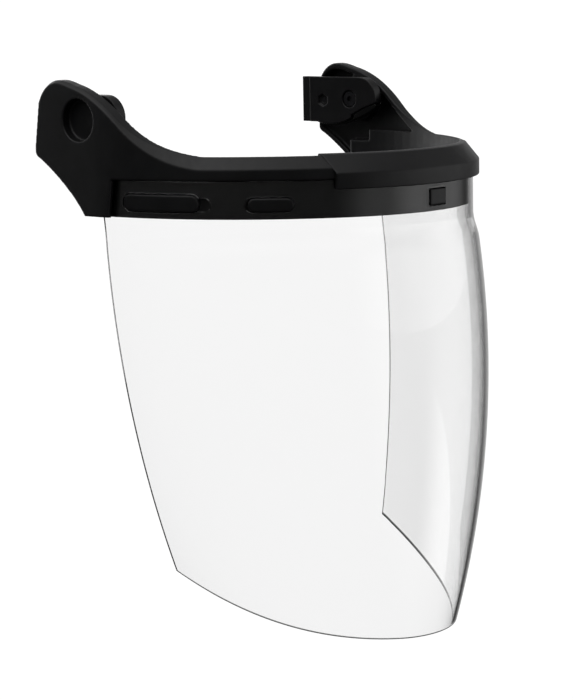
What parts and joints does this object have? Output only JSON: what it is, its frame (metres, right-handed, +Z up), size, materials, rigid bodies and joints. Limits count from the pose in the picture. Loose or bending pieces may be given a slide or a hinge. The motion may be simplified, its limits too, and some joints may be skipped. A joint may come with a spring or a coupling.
{
  "type": "face shield",
  "caption": "Tilting face shield for a safety helmet: clear barrel-shaped lens on a black carrier frame with two side clips.",
  "frame": {"origin": "on the tilt axis, midway between the two clips", "axes": "+X the wearer's left along the tilt axis, -Y the front of the face, +Z up"},
  "size_m": [0.2234, 0.1816, 0.2795],
  "materials": {
    "black_nylon": "moulded, fine spark texture",
    "clear_polycarbonate": "polished clear",
    "black_acetal": "moulded, satin",
    "gloss_black": "polished",
    "spring_steel": "drawn wire, oiled",
    "black_steel": "black oxide",
    "brass": "turned",
    "white_acetal": "satin"
  },
  "bodies": {
    "helmet_clips": {"mount_clip_left": "black_acetal", "latch_pin_left": "black_steel", "latch_spring_left": "spring_steel", "pivot_bush_left": "white_acetal", "friction_washer_left": "white_acetal", "mount_clip_right": "black_acetal", "latch_pin_right": "black_steel", "latch_spring_right": "spring_steel", "pivot_bush_right": "white_acetal", "friction_washer_right": "white_acetal"},
    "shield": {"carrier_frame": "black_nylon", "front_brim": "black_nylon", "visor_lens": "clear_polycarbonate", "pivot_screw_left": "black_steel", "pivot_insert_left": "brass", "spring_washer_left": "spring_steel", "pivot_screw_right": "black_steel", "pivot_insert_right": "brass", "spring_washer_right": "spring_steel"},
    "latch_left": {"latch_lever_left": "gloss_black"},
    "latch_right": {"latch_lever_right": "gloss_black"}
  },
  "joints": [
    {"name": "tilt", "type": "hinge", "parent": "helmet_clips", "child": "shield", "pos_m": [0, 0, 0], "axis": [-1, 0, 0], "range_deg": [0, 95]},
    {"name": "latch_left_press", "type": "hinge", "parent": "helmet_clips", "child": "latch_left", "pos_m": [0.0999, 0.019, -0.001], "axis": [1, 0, 0], "range_deg": [0, 6], "stiffness_Nm_per_rad": 0.05, "springref_deg": -8.59},
    {"name": "latch_right_press", "type": "hinge", "parent": "helmet_clips", "child": "latch_right", "pos_m": [-0.0999, 0.019, -0.001], "axis": [1, 0, 0], "range_deg": [0, 6], "stiffness_Nm_per_rad": 0.05, "springref_deg": -8.59}
  ]
}
